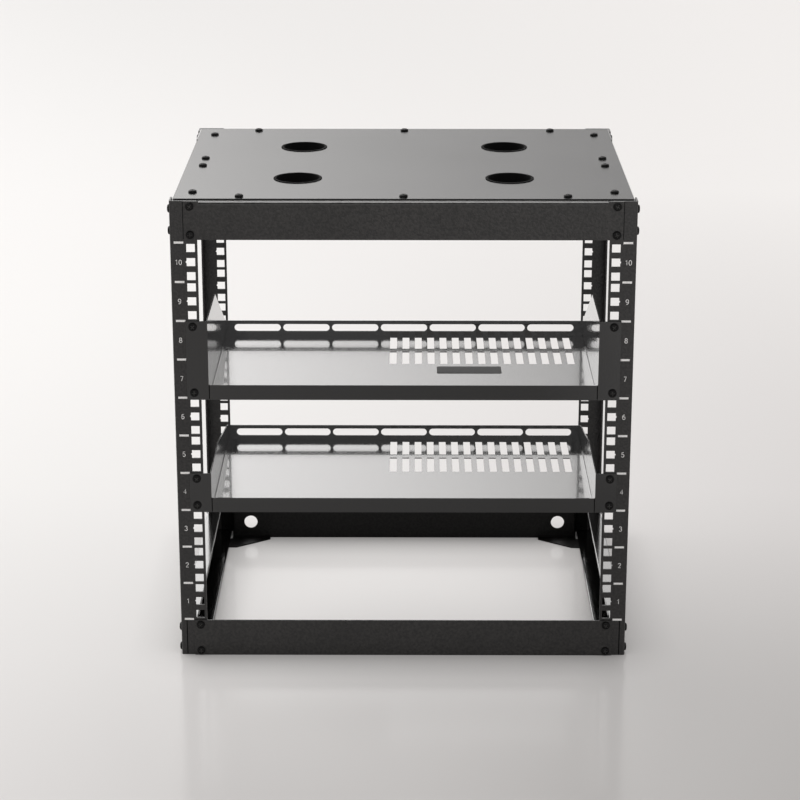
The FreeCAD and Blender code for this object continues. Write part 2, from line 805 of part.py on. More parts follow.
QUARTER_TURN = FreeCAD.Rotation(FreeCAD.Vector(0, 0, 1), 90)
FACING = {
    "up": FreeCAD.Rotation(),
    "front": FreeCAD.Rotation(FreeCAD.Vector(1, 0, 0), 90),
    "rear": FreeCAD.Rotation(FreeCAD.Vector(1, 0, 0), -90),
    "left": FreeCAD.Rotation(FreeCAD.Vector(0, 1, 0), -90) * QUARTER_TURN,
    "right": FreeCAD.Rotation(FreeCAD.Vector(0, 1, 0), 90) * QUARTER_TURN,
}


def group(label, places):
    """Copies of pattern pieces at (piece, facing, across, along, up), kept together as one node."""
    copies = []
    for piece, facing, across, along, up in places:
        copy = doc.addObject("App::Link", label + "_one")
        copy.LinkedObject = piece
        copy.LinkTransform = False
        copy.Placement = FreeCAD.Placement(FreeCAD.Vector(), FACING[facing])
        for axis, text in zip("xyz", (across, along, up)):
            copy.setExpression("Placement.Base." + axis, bound(text))
        copies.append(copy)
    compound = doc.addObject("Part::Compound", label)
    compound.Label = label
    compound.Links = copies
    return compound


BOTH = ("-", "")
bar_places = [(side + "hole_spread / 2", level) for side in BOTH for level in BAR_SCREW_LEVELS]
front_bar_screws = group("front_bar_screws", [
    (short_screw, "front", across, BAR_FRONT, level) for across, level in bar_places])
rear_bar_screws = group("rear_bar_screws", [
    (short_screw, "rear", across, "depth / 2", level) for across, level in bar_places])

rail_places = [
    (along, level)
    for along in (RAIL_SCREW_Y, "-(%s)" % RAIL_SCREW_Y)
    for level in RAIL_SCREW_LEVELS
]
side_rail_screws = group("side_rail_screws", [
    (short_screw, facing, across, along, level)
    for facing, across in (("left", "-width / 2"), ("right", "width / 2"))
    for along, level in rail_places])

plate_places = [
    (across, along)
    for along in (PLATE_FRONT_Y, PLATE_REAR_Y)
    for across in ("-plate_screw_pitch", "0 * width", "plate_screw_pitch")
]
plate_places += [
    ("%s(%s)" % (side, PLATE_SIDE_X), along)
    for side in BOTH
    for along in ("-plate_side_far", "-plate_side_near", "plate_side_near", "plate_side_far")
]
top_plate_screws = group("top_plate_screws", [
    (short_screw, "up", across, along, "height") for across, along in plate_places])
port_grommets = group("port_grommets", [
    (grommet, "up", across, along, "height") for across, along in PORTS])


# Square nuts in spring cages, behind the posts at the tray ears

def nut_block(sketch):
    edge = "nut_width / 2"
    polygon(sketch, [("-" + edge, "-" + edge), (edge, "-" + edge), (edge, edge), ("-" + edge, edge)])


def nut_bore(sketch):
    screw_hole(sketch, "0 * height", "0 * height")


nut = doc.addObject("PartDesign::Body", "square_nut")
add(nut, "XY_Plane", "0 * height", "nut_depth", nut_block)
cut(nut, "XY_Plane", "0 * height", "nut_depth", nut_bore)

CAGE_IN = "nut_width / 2 + cage_clearance"
CAGE_OUT = "nut_width / 2 + cage_clearance + cage_wall"
CAGE_BACK = "nut_depth + seat_gap"


def cage_strip(sketch):
    polygon(sketch, [
        ("-(%s)" % CAGE_OUT, "0 * height"),
        ("-(%s)" % CAGE_IN, "0 * height"),
        ("-(%s)" % CAGE_IN, CAGE_BACK),
        (CAGE_IN, CAGE_BACK),
        (CAGE_IN, "0 * height"),
        (CAGE_OUT, "0 * height"),
        (CAGE_OUT, CAGE_BACK + " + cage_wall"),
        ("-(%s)" % CAGE_OUT, CAGE_BACK + " + cage_wall"),
    ])


cage = doc.addObject("PartDesign::Body", "spring_cage")
add(cage, "XZ_Plane", "-cage_width / 2", "cage_width", cage_strip)
cut(cage, "XY_Plane", CAGE_BACK, "cage_wall", nut_bore)


def ear_fasteners(name, first_unit, ear_units):
    bottom = "base_height + (%s - 1) * unit_height + hole_edge_gap" % first_unit
    top = "base_height + (%s - 1 + %s) * unit_height - hole_edge_gap" % (first_unit, ear_units)
    places = [(side + "hole_spread / 2", level) for side in BOTH for level in (bottom, top)]
    behind = "-depth / 2 + post_wall"
    return [
        group(name + "_screws", [(long_screw, "front", x, EAR_FRONT, z) for x, z in places]),
        group(name + "_nuts", [(nut, "rear", x, behind + " + seat_gap", z) for x, z in places]),
        group(name + "_cages", [(cage, "rear", x, behind, z) for x, z in places]),
    ]


upper_fasteners = ear_fasteners("upper_shelf", "upper_unit", "upper_ear_units")
lower_fasteners = ear_fasteners("lower_shelf", "lower_unit", "1")

PIECES = [
    front_left_post, front_right_post, rear_left_post, rear_right_post,
    front_top_bar, front_bottom_bar, rear_top_bar, rear_bottom_bar,
    left_top_rail, right_top_rail, left_bottom_rail, right_bottom_rail,
    top_plate, port_grommets, upper_shelf, lower_shelf,
    front_bar_screws, rear_bar_screws, side_rail_screws, top_plate_screws,
    *upper_fasteners, *lower_fasteners,
]

# Everything is checked before anything is written

doc.recompute()
for item in doc.Objects:
    if "Invalid" in item.State or "Error" in item.State:
        raise RuntimeError("%s failed: %s" % (item.Name, item.State))
    if item.TypeId == "PartDesign::Pocket":
        if item.Shape.Volume >= item.BaseFeature.Shape.Volume:
            raise RuntimeError("%s cuts nothing" % item.Name)
for piece in PIECES:
    if piece.Shape.isNull() or not piece.Shape.isValid():
        raise RuntimeError("%s has no valid shape" % piece.Label)

os.makedirs("parts", exist_ok=True)
for piece in PIECES:
    piece.Shape.exportStep("parts/%s.step" % piece.Label)
    print(piece.Label, len(piece.Shape.Solids), "solids", round(piece.Shape.Volume), "mm3")
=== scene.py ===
import math

import bmesh
import bpy
from mathutils import Matrix, Vector


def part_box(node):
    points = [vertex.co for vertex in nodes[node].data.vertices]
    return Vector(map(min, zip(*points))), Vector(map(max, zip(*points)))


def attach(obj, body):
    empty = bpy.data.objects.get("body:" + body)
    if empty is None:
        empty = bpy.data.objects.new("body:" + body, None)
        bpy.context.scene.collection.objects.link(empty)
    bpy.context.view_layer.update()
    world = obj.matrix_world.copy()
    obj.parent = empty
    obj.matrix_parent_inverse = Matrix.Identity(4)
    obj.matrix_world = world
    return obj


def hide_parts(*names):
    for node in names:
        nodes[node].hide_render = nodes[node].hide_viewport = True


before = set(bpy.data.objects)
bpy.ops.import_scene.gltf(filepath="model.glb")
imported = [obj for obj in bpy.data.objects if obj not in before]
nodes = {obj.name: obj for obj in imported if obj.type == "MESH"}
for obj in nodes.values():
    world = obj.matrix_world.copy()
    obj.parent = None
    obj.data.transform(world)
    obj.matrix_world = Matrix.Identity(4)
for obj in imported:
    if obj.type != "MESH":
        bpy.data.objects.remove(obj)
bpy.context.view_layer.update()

# Four uprights, each a strip of steel sheet folded to an L and punched with square holes in threes.
# They are sprayed with a black powder coat that melts into a fine, slightly pebbled skin.
POST_NODES = ("front_left_post", "front_right_post", "rear_left_post", "rear_right_post")
POST_BLACK = (0.016, 0.0148, 0.0144)
GRAIN_PER_METRE = 380
GRAIN_SPAN = (0.35, 0.65)
GRAIN_SHADES = (0.5, 1.5)
CLOUD_PER_METRE = 9
CLOUD_SPAN = (0.3, 0.7)
CLOUD_SHADES = (0.82, 1.18)
COAT_SPREAD = 0.12


def add_node(tree, kind, **values):
    """A shader node with some of its input sockets or properties set."""
    node = tree.nodes.new(kind)
    for name, value in values.items():
        if name in node.inputs:
            node.inputs[name].default_value = value
        else:
            setattr(node, name, value)
    return node


def add_ramp(tree, value, span, results=(0.0, 1.0), style="LINEAR"):
    """Carries a span of a changing value over to another one."""
    node = add_node(tree, "ShaderNodeMapRange", interpolation_type=style)
    for name, limit in zip(("From Min", "From Max", "To Min", "To Max"), (*span, *results)):
        node.inputs[name].default_value = limit
    tree.links.new(value, node.inputs["Value"])
    return node.outputs["Result"]


def add_math(tree, operation, *terms):
    """One step of arithmetic, whose terms are sockets or numbers."""
    node = add_node(tree, "ShaderNodeMath", operation=operation)
    for term, socket in zip(terms, node.inputs):
        if isinstance(term, bpy.types.NodeSocket):
            tree.links.new(term, socket)
        else:
            socket.default_value = term
    return node.outputs["Value"]


def powder_skin():
    """Shader group: the pebbled skin of a coat, with faint clouds in its tone and gloss."""
    group = bpy.data.node_groups.new("powder_skin", "ShaderNodeTree")
    sockets = group.interface
    sockets.new_socket("Tone", in_out="INPUT", socket_type="NodeSocketColor")
    for name in ("Gloss roughness", "Roughness spread", "Grain per metre"):
        sockets.new_socket(name, in_out="INPUT", socket_type="NodeSocketFloat")
    sockets.new_socket("Colour", in_out="OUTPUT", socket_type="NodeSocketColor")
    for name in ("Roughness", "Height"):
        sockets.new_socket(name, in_out="OUTPUT", socket_type="NodeSocketFloat")
    given = add_node(group, "NodeGroupInput")
    result = add_node(group, "NodeGroupOutput")
    place = add_node(group, "ShaderNodeTexCoord")
    link = group.links.new

    grain = add_node(group, "ShaderNodeTexNoise", Detail=2.0, Roughness=0.55)
    link(place.outputs["Object"], grain.inputs["Vector"])
    link(given.outputs["Grain per metre"], grain.inputs["Scale"])
    clouds = add_node(group, "ShaderNodeTexNoise", Scale=CLOUD_PER_METRE, Detail=3.0)
    link(place.outputs["Object"], clouds.inputs["Vector"])

    shade = add_ramp(group, clouds.outputs["Fac"], CLOUD_SPAN, CLOUD_SHADES)
    speck = add_ramp(group, grain.outputs["Fac"], GRAIN_SPAN, GRAIN_SHADES)
    tint = add_node(group, "ShaderNodeVectorMath", operation="SCALE")
    link(given.outputs["Tone"], tint.inputs[0])
    link(add_math(group, "MULTIPLY", shade, speck), tint.inputs["Scale"])
    link(tint.outputs["Vector"], result.inputs["Colour"])

    centred = add_math(group, "SUBTRACT", clouds.outputs["Fac"], 0.5)
    spread, gloss = given.outputs["Roughness spread"], given.outputs["Gloss roughness"]
    link(add_math(group, "MULTIPLY_ADD", centred, spread, gloss), result.inputs["Roughness"])
    link(grain.outputs["Fac"], result.inputs["Height"])
    return group


POWDER_SKIN = powder_skin()


def new_material(name):
    """A plain material, with its node tree and its shader."""
    material = bpy.data.materials.new(name)
    material.use_nodes = True
    return material, material.node_tree, material.node_tree.nodes["Principled BSDF"]


def coated(name, tone, roughness, spread, grain):
    """A material whose colour and gloss come from the skin group."""
    material, tree, shader = new_material(name)
    skin = add_node(tree, "ShaderNodeGroup", node_tree=POWDER_SKIN, name="skin")
    skin.inputs["Tone"].default_value = (*tone, 1)
    skin.inputs["Gloss roughness"].default_value = roughness
    skin.inputs["Roughness spread"].default_value = spread
    skin.inputs["Grain per metre"].default_value = grain
    tree.links.new(skin.outputs["Colour"], shader.inputs["Base Color"])
    tree.links.new(skin.outputs["Roughness"], shader.inputs["Roughness"])
    return material


def add_relief(material, depth, strength=1.0, edge=None):
    """Lets the grain of a coat stand out, and softens the sheet's edges where an edge radius is given."""
    tree = material.node_tree
    bump = add_node(tree, "ShaderNodeBump", Strength=strength, Distance=depth)
    tree.links.new(tree.nodes["skin"].outputs["Height"], bump.inputs["Height"])
    if edge:
        soft_edge = add_node(tree, "ShaderNodeBevel", samples=4, Radius=edge)
        tree.links.new(soft_edge.outputs["Normal"], bump.inputs["Normal"])
    tree.links.new(bump.outputs["Normal"], tree.nodes["Principled BSDF"].inputs["Normal"])


def finish_node(node, material):
    """Gives a piece that keeps its own shape a finish."""
    nodes[node].data.materials.clear()
    nodes[node].data.materials.append(material)


post_coat = coated("post_coat", POST_BLACK, roughness=0.36, spread=COAT_SPREAD, grain=GRAIN_PER_METRE)
add_relief(post_coat, depth=0.0005, edge=0.0006)
for name in POST_NODES:
    finish_node(name, post_coat)


# Unit scale of the front posts: a white dash at every unit's edge and a plain number level with the
# middle hole of each unit, screen-printed in white ink on the outer strip of the post.
UNIT = 0.04445
UNIT_COUNT = 10
FIRST_UNIT = 0.044
DASH_CENTRE = 0.2455
DASH_LENGTH = 0.0105
DASH_WIDTH = 0.0024
NUMBER_CENTRE = 0.2462
NUMBER_HEIGHT = 0.0054
NUMBER_STROKE = 0.00078
DIGIT_WIDTH = 0.54
DIGIT_ADVANCE = 0.74
BOW_STEP = 15
INK_DEPTH = 0.00006
INK_WHITE = (0.97, 0.96, 0.95)
INK_THIN = 0.72
INK_THIN_UNTIL = 0.2
INK_FULL_FROM = 0.55
INK_PORES_PER_METRE = 900.0


def ink_material():
    """White ink that thins out a little at the pores of the coat below."""
    material, tree, shader = new_material("printed_ink")
    shader.inputs["Roughness"].default_value = 0.55
    place = add_node(tree, "ShaderNodeTexCoord")
    pores = add_node(tree, "ShaderNodeTexNoise", Scale=INK_PORES_PER_METRE, Detail=2.0)
    tone = add_node(tree, "ShaderNodeValToRGB")
    thin, full = tone.color_ramp.elements
    thin.position, full.position = INK_THIN_UNTIL, INK_FULL_FROM
    thin.color = (*[INK_THIN * part for part in INK_WHITE], 1)
    full.color = (*INK_WHITE, 1)
    tree.links.new(place.outputs["Object"], pores.inputs["Vector"])
    tree.links.new(pores.outputs["Fac"], tone.inputs["Fac"])
    tree.links.new(tone.outputs["Color"], shader.inputs["Base Color"])
    return material


def add_box(mesh, low, high):
    """Adds a closed box to a mesh under construction."""
    middle = (Vector(low) + Vector(high)) / 2
    extent = Vector(high) - Vector(low)
    bmesh.ops.create_cube(mesh, size=1, matrix=Matrix.Translation(middle) @ Matrix.Diagonal((*extent, 1)))


def new_piece(name, mesh, *materials):
    """Turns a mesh under construction into a piece that stands with the rack."""
    data = bpy.data.meshes.new(name)
    mesh.to_mesh(data)
    mesh.free()
    for material in materials:
        data.materials.append(material)
    piece = bpy.data.objects.new(name, data)
    bpy.context.scene.collection.objects.link(piece)
    return piece


def bow(across, up, wide, tall, start, end):
    """Points along part of an ellipse, between two angles in degrees, for a number's round strokes."""
    count = math.ceil(abs(end - start) / BOW_STEP)
    turns = [math.radians(start + (end - start) * step / count) for step in range(count + 1)]
    return [(across + wide * math.cos(turn), up + tall * math.sin(turn)) for turn in turns]


# Each digit's strokes, in parts of its height
DIGIT_STROKES = {
    "0": [bow(0.27, 0.5, 0.27, 0.5, 90, 450)],
    "1": [[(0.1, 0.78), (0.32, 1), (0.32, 0)]],
    "2": [bow(0.27, 0.73, 0.26, 0.27, 170, -40) + [(0.02, 0), (0.54, 0)]],
    "3": [bow(0.25, 0.76, 0.23, 0.24, 160, -90), bow(0.25, 0.26, 0.27, 0.26, 90, -160)],
    "4": [[(0.4, 0), (0.4, 1), (0, 0.3), (0.54, 0.3)]],
    "5": [[(0.5, 1), (0.1, 1), (0.05, 0.52)] + bow(0.26, 0.32, 0.27, 0.32, 140, -150)],
    "6": [bow(0.27, 0.31, 0.26, 0.31, 90, 450), bow(0.32, 0.48, 0.31, 0.52, 60, 200)],
    "7": [[(0.02, 1), (0.53, 1), (0.2, 0)]],
    "8": [bow(0.27, 0.76, 0.22, 0.24, 90, 450), bow(0.27, 0.26, 0.27, 0.26, 90, 450)],
}
DIGIT_STROKES["9"] = [[(DIGIT_WIDTH - x, 1 - y) for x, y in stroke] for stroke in DIGIT_STROKES["6"]]


def add_number(mesh, number, across, front, up):
    """Adds a printed number, upright on a face that looks forward, to a mesh under construction."""
    digits = str(number)
    curve = bpy.data.curves.new("number", "CURVE")
    curve.dimensions = "3D"
    curve.bevel_depth = NUMBER_STROKE / 2
    curve.bevel_resolution = 1
    curve.use_fill_caps = True
    pen = -(DIGIT_ADVANCE * (len(digits) - 1) + DIGIT_WIDTH) / 2
    for digit in digits:
        for stroke in DIGIT_STROKES[digit]:
            line = curve.splines.new("POLY")
            line.points.add(len(stroke) - 1)
            for point, (x, y) in zip(line.points, stroke):
                point.co = (NUMBER_HEIGHT * (pen + x), NUMBER_HEIGHT * (y - 0.5), 0, 1)
        pen += DIGIT_ADVANCE
    holder = bpy.data.objects.new("number", curve)
    bpy.context.scene.collection.objects.link(holder)
    bpy.context.view_layer.update()
    shape = bpy.data.meshes.new_from_object(holder.evaluated_get(bpy.context.evaluated_depsgraph_get()))
    upright = Matrix.Translation((across, front, up)) @ Matrix.Rotation(math.pi / 2, 4, "X")
    shape.transform(upright @ Matrix.Diagonal((1, 1, 2 * INK_DEPTH / NUMBER_STROKE, 1)))
    mesh.from_mesh(shape)
    bpy.data.meshes.remove(shape)
    bpy.data.objects.remove(holder)
    bpy.data.curves.remove(curve)


ink = ink_material()
for side, node in ((-1, "front_left_post"), (1, "front_right_post")):
    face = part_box(node)[0].y
    scale = bmesh.new()
    for step in range(UNIT_COUNT + 1):
        level = FIRST_UNIT + step * UNIT
        middle = side * DASH_CENTRE
        add_box(
            scale,
            (middle - DASH_LENGTH / 2, face - INK_DEPTH, level - DASH_WIDTH / 2),
            (middle + DASH_LENGTH / 2, face, level + DASH_WIDTH / 2),
        )
        if step < UNIT_COUNT:
            add_number(scale, step + 1, side * NUMBER_CENTRE, face, level + UNIT / 2)
    printed = new_piece(node + "_scale", scale, ink)
    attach(printed, "root")


# Cross bars at the front and the rear: folded strips of the same sheet, screwed to the posts. The front
# pair is coated much like the posts, and the rear pair gets a darker, duller copy of the coat with
# shallower relief, as painted shade.
FRONT_BAR_NODES = ("front_top_bar", "front_bottom_bar")
REAR_BAR_NODES = ("rear_top_bar", "rear_bottom_bar")
BAR_BLACK = (0.017, 0.0158, 0.015)
REAR_SHADE_BLACK = (0.006, 0.0056, 0.0053)
BAR_EDGE = 0.0004


def set_gloss(material, index, clear=0.0, clear_roughness=0.03):
    """Sets a coat's index of refraction, and how much clear gloss has settled over its grain."""
    shader = material.node_tree.nodes["Principled BSDF"]
    shader.inputs["IOR"].default_value = index
    shader.inputs["Coat Weight"].default_value = clear
    shader.inputs["Coat Roughness"].default_value = clear_roughness


bar_coat = coated("bar_coat", BAR_BLACK, roughness=0.3, spread=COAT_SPREAD, grain=GRAIN_PER_METRE)
add_relief(bar_coat, depth=0.0004, edge=BAR_EDGE)
# The rear bars' coat: the same paint made darker and duller, as painted shade.
rear_shade_coat = coated("rear_shade_coat", REAR_SHADE_BLACK, roughness=0.5, spread=COAT_SPREAD, grain=GRAIN_PER_METRE)
add_relief(rear_shade_coat, depth=0.00005, edge=BAR_EDGE)
set_gloss(rear_shade_coat, index=1.25)
for name in FRONT_BAR_NODES:
    finish_node(name, bar_coat)
for name in REAR_BAR_NODES:
    finish_node(name, rear_shade_coat)


# Rails along both sides: folded channels, open towards the middle and screwed to the side flanges of the
# posts. Their coat has run out to a gloss, and the lips mirror the pale room behind.
RAIL_NODES = ("left_top_rail", "right_top_rail", "left_bottom_rail", "right_bottom_rail")
GLOSS_BLACK = (0.0032, 0.003, 0.0029)
GLOSS_GRAIN_PER_METRE = 500
rail_coat = coated("rail_coat", GLOSS_BLACK, roughness=0.12, spread=0.04, grain=GLOSS_GRAIN_PER_METRE)
add_relief(rail_coat, depth=0.00003, edge=0.0004)
set_gloss(rail_coat, index=1.3, clear=1.0, clear_roughness=0.1)
for name in RAIL_NODES:
    finish_node(name, rail_coat)


# Rolled edges of the lower rails: the sheet is turned over at the free edge of the lip and of the low
# flange, so that no cut edge is left to the hands. The round catches the light as a thin line.
LOW_RAIL_NODES = ("left_bottom_rail", "right_bottom_rail")
RAIL_LIP_WIDTH = 0.016
EDGE_RADIUS = 0.0014
EDGE_END_GAP = 0.008
BEAD_STEPS = 16
QUARTER_TURN = [math.radians(angle) for angle in (0, 30, 60, 90)]


def lathe(mesh, profile, steps):
    """Turns a profile of (radius, height) about Z and adds it to a mesh under construction."""
    angles = [2 * math.pi * step / steps for step in range(steps)]
    rounds = []
    for radius, height in profile:
        points = [(radius * math.cos(angle), radius * math.sin(angle), height) for angle in angles]
        if radius == 0:
            points = [(0, 0, height)]
        rounds.append([mesh.verts.new(point) for point in points])
    for lower, upper in zip(rounds, rounds[1:]):
        for step in range(steps):
            following = (step + 1) % steps
            corners = [lower[step % len(lower)], lower[following % len(lower)]]
            corners += [upper[following % len(upper)], upper[step % len(upper)]]
            mesh.faces.new(list(dict.fromkeys(corners)))


def add_turned(mesh, turned, place):
    """Moves a turned shape to its place and adds it to a mesh under construction."""
    bmesh.ops.recalc_face_normals(turned, faces=turned.faces)
    shape = bpy.data.meshes.new("turned")
    turned.to_mesh(shape)
    turned.free()
    shape.transform(place)
    mesh.from_mesh(shape)
    bpy.data.meshes.remove(shape)


def add_bead(mesh, start, end, radius):
    """Adds a thin round bead with domed ends between two points to a mesh under construction."""
    path = Vector(end) - Vector(start)
    foot = [(radius * math.sin(turn), radius * (1 - math.cos(turn))) for turn in QUARTER_TURN]
    head = [(across, path.length - up) for across, up in reversed(foot)]
    bead = bmesh.new()
    lathe(bead, foot + head, BEAD_STEPS)
    for face in bead.faces:
        face.smooth = True
    add_turned(mesh, bead, Matrix.Translation(start) @ path.to_track_quat("Z", "Y").to_matrix().to_4x4())


for name in LOW_RAIL_NODES:
    low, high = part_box(name)
    inward = 1 if high.x < 0 else -1
    outer, inner = (low.x, high.x) if inward > 0 else (high.x, low.x)
    lip_edge = (outer + inward * RAIL_LIP_WIDTH, high.z - EDGE_RADIUS)
    flange_edge = (inner, low.z + EDGE_RADIUS)
    rolled = bmesh.new()
    for across, level in (lip_edge, flange_edge):
        start, end = (across, low.y + EDGE_END_GAP, level), (across, high.y - EDGE_END_GAP, level)
        add_bead(rolled, start, end, EDGE_RADIUS)
    edges = new_piece(name + "_edges", rolled, rail_coat)
    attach(edges, "root")


# Top plate: one flat steel sheet, screwed down from above, with four ports for cables. Its coat has run
# smoother than on the posts and bars, so it mirrors what stands behind it.
PLATE_BLACK = (0.018, 0.018, 0.018)
plate_coat = coated("plate_coat", PLATE_BLACK, roughness=0.2, spread=0.06, grain=GRAIN_PER_METRE)
add_relief(plate_coat, depth=0.000006, edge=0.0005)
set_gloss(plate_coat, index=1.44)
finish_node("top_plate", plate_coat)


# Cable grommets: rings of black rubber pressed into the ports. A rounded lip lies on the plate, and the
# sleeve below it keeps the sheet's edge off the cables.
LIP_HEIGHT = 0.0008
LIP_ROUND = 0.00045
GROMMET_BORE = 0.0244
SLEEVE_RADIUS = 0.0256
SLEEVE_ROUND = 0.0004
GROMMET_STEPS = 96
RUBBER_BLACK = (0.003, 0.0029, 0.0029)
RUBBER_GRAIN_PER_METRE = 1800
SAME_POINT = 1e-6


def islands(node):
    """The boxes of the separate solids in a node, as pairs of corners."""
    solid = bmesh.new()
    solid.from_mesh(nodes[node].data)
    bmesh.ops.remove_doubles(solid, verts=solid.verts, dist=SAME_POINT)
    waiting = set(solid.verts)
    boxes = []
    while waiting:
        reached = [waiting.pop()]
        for vertex in reached:
            for edge in vertex.link_edges:
                neighbour = edge.other_vert(vertex)
                if neighbour in waiting:
                    waiting.remove(neighbour)
                    reached.append(neighbour)
        places = [vertex.co for vertex in reached]
        low = Vector([min(place[axis] for place in places) for axis in range(3)])
        high = Vector([max(place[axis] for place in places) for axis in range(3)])
        boxes.append((low, high))
    solid.free()
    return sorted(boxes, key=lambda pair: tuple(pair[0]))


def rounded(radius, height, size, start):
    """Points of a quarter turn about a corner's centre, for a lathe profile."""
    turns = [math.radians(start) + turn for turn in QUARTER_TURN]
    return [(radius + size * math.cos(turn), height + size * math.sin(turn)) for turn in turns]


rubber = coated("grommet_rubber", RUBBER_BLACK, roughness=0.85, spread=0.15, grain=RUBBER_GRAIN_PER_METRE)
add_relief(rubber, depth=0.00003, strength=0.5)
set_gloss(rubber, index=1.2)
rings = bmesh.new()
for low, high in islands("port_grommets"):
    lip_radius = (high.x - low.x) / 2
    foot = LIP_HEIGHT - (high.z - low.z) + SLEEVE_ROUND
    profile = [(SLEEVE_RADIUS, foot), (SLEEVE_RADIUS, 0), (lip_radius, 0)]
    profile += rounded(lip_radius - LIP_ROUND, LIP_HEIGHT - LIP_ROUND, LIP_ROUND, 0)
    profile += rounded(GROMMET_BORE + LIP_ROUND, LIP_HEIGHT - LIP_ROUND, LIP_ROUND, 90)
    profile += rounded(GROMMET_BORE + SLEEVE_ROUND, foot, SLEEVE_ROUND, 180)
    profile += rounded(SLEEVE_RADIUS - SLEEVE_ROUND, foot, SLEEVE_ROUND, 270)
    ring = bmesh.new()
    lathe(ring, profile, GROMMET_STEPS)
    bmesh.ops.remove_doubles(ring, verts=ring.verts, dist=SAME_POINT)
    middle = (low + high) / 2
    add_turned(rings, ring, Matrix.Translation((middle.x, middle.y, high.z - LIP_HEIGHT)))
grommets = new_piece("port_grommet_set", rings, rubber)
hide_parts("port_grommets")
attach(grommets, "root")


# Trays: one folded sheet each, with a glossy black coat whose floor, side walls and slotted back
# mirror each other. They are screwed to the front posts through their ears.
TRAY_NODES = ("upper_shelf", "lower_shelf")
tray_coat = coated("tray_coat", GLOSS_BLACK, roughness=0.07, spread=0.03, grain=GLOSS_GRAIN_PER_METRE)
add_relief(tray_coat, depth=0.00014, edge=0.0005)
set_gloss(tray_coat, index=1.4, clear=0.7, clear_roughness=0.05)
for name in TRAY_NODES:
    finish_node(name, tray_coat)


# Painted shade: thin black beads in the seams beside the tray lips, and along the ends of the front bars
# where they lie on the posts, stand in for the shade in these gaps.
SEAM_SHADE_RADIUS = 0.00055
SEAM_SHADE_END_GAP = 0.0006
SEAM_CENTRE = 0.2158
SEAM_SINK = 0.0006
TRAY_LIP_HEIGHT = 0.0172
SEAM_SHADE_BLACK = (0.0012, 0.0011, 0.0011)
# A matte black for the painted shade in the seams and gaps.
seam_shade_coat = coated("black_sealer", SEAM_SHADE_BLACK, roughness=0.85, spread=0.1, grain=RUBBER_GRAIN_PER_METRE)
set_gloss(seam_shade_coat, index=1.2)
for name in TRAY_NODES + FRONT_BAR_NODES:
    low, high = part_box(name)
    if name in TRAY_NODES:
        middle, front, top = SEAM_CENTRE, low.y + SEAM_SINK, low.z + TRAY_LIP_HEIGHT
    else:
        middle, front, top = high.x + SEAM_SHADE_RADIUS / 2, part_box("front_left_post")[0].y, high.z
    beads = bmesh.new()
    for side in (-1, 1):
        start = (side * middle, front, low.z + SEAM_SHADE_END_GAP)
        end = (side * middle, front, top - SEAM_SHADE_END_GAP)
        add_bead(beads, start, end, SEAM_SHADE_RADIUS)
    shaded_seams = new_piece(name + "_sealer", beads, seam_shade_coat)
    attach(shaded_seams, "root")


# Blank plate on the floor of the upper tray: a thin dark strip with rounded corners and no marks,
# glued down on the sheet.
LABEL_LOW = (0.0385, -0.104)
LABEL_HIGH = (0.113, -0.078)
LABEL_THICK = 0.0004
LABEL_CORNER = 0.0012
TRAY_SHEET = 0.0012
LABEL_GREY = (0.028, 0.027, 0.027)
label_film = coated("blank_plate", LABEL_GREY, roughness=0.6, spread=0.1, grain=1500)
label = bmesh.new()
label_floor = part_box("upper_shelf")[0].z + TRAY_SHEET
add_box(label, (*LABEL_LOW, label_floor), (*LABEL_HIGH, label_floor + LABEL_THICK))
upright = [edge for edge in label.edges if abs(edge.verts[0].co.z - edge.verts[1].co.z) > LABEL_THICK / 2]
bmesh.ops.bevel(label, geom=upright, offset=LABEL_CORNER, segments=4, affect="EDGES")
blank = new_piece("blank_plate", label, label_film)
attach(blank, "root")


# Screws: black oxide pan heads with a cross recess, turned in from outside. The shank's thread ends
# just behind the sheet that it is tapped into.
HEAD_RADIUS = 0.00475
HEAD_HEIGHT = 0.0029
HEAD_RIM = 0.0009
HEAD_CHAMFER = 0.0002
DOME_STEPS = 6
DOME_FULLNESS = 0.6
SHANK_RADIUS = 0.0025
THREAD_PITCH = 0.0009
THREAD_DEPTH = 0.0003
RECESS_LENGTH = 0.0052
RECESS_WIDTH = 0.0012
RECESS_DEPTH = 0.0017
TURN_STEPS = 28
SCREW_BLACK = (0.0012, 0.0011, 0.0011)
# The walls of the cross recess are a lighter grey: a painted highlight where the recess catches the
# light.
RECESS_HIGHLIGHT_GREY = (0.075, 0.073, 0.07)
DRIVEN_TURN = 2.4
SCREW_NODES = {
    "front_bar_screws": "front",
    "rear_bar_screws": "rear",
    "side_rail_screws": "side",
    "top_plate_screws": "top",
    "upper_shelf_screws": "front",
    "lower_shelf_screws": "front",
}
# For each side of the rack: the axis that its screws lie along, the way their heads look, and the turn
# that brings an upright screw there
SCREW_SIDES = {
    "front": (1, -1, Matrix.Rotation(math.pi / 2, 4, "X")),
    "rear": (1, 1, Matrix.Rotation(-math.pi / 2, 4, "X")),
    "left": (0, -1, Matrix.Rotation(-math.pi / 2, 4, "Y")),
    "right": (0, 1, Matrix.Rotation(math.pi / 2, 4, "Y")),
    "top": (2, 1, Matrix.Identity(4)),
}


def oxide(name, tone):
    """A blackened steel, with a dull shine and a fine tooth."""
    material = coated(name, tone, roughness=0.48, spread=0.2, grain=2200)
    add_relief(material, depth=0.00002, strength=0.6)
    set_gloss(material, index=1.3)
    return material


black_oxide = oxide("black_oxide", SCREW_BLACK)
# Painted highlight: the lighter oxide of the recess walls.
recess_highlight_oxide = oxide("recess_highlight_oxide", RECESS_HIGHLIGHT_GREY)


